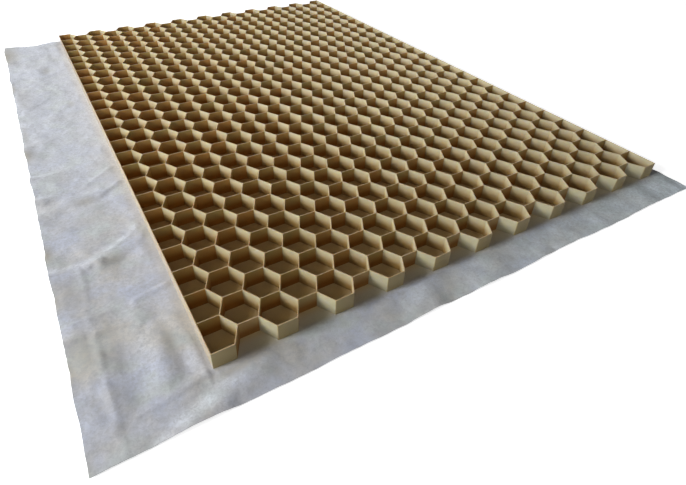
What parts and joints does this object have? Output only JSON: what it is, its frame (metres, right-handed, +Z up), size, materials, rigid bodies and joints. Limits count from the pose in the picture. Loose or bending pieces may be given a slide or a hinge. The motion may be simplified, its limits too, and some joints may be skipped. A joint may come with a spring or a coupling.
{
  "type": "plastic gravel grid",
  "caption": "Flat honeycomb panel of thin plastic walls on a nonwoven geotextile sheet with overlap flaps, laid on the ground and filled with gravel.",
  "frame": {"origin": "centre of the bounding box at its lowest face, which is the underside of the geotextile sheet", "axes": "+X across the panel, away from the wide flap; +Y along the panel, away from the front flap; +Z up, out of the open cells"},
  "size_m": [0.968, 1.286, 0.0256],
  "materials": {
    "honeycomb": "satin moulded polypropylene",
    "geotextile": "pressed nonwoven fibre"
  },
  "bodies": {
    "root": {"honeycomb_section_1": "honeycomb", "honeycomb_section_2": "honeycomb", "honeycomb_section_3": "honeycomb", "geotextile_sheet": "geotextile"}
  },
  "joints": []
}
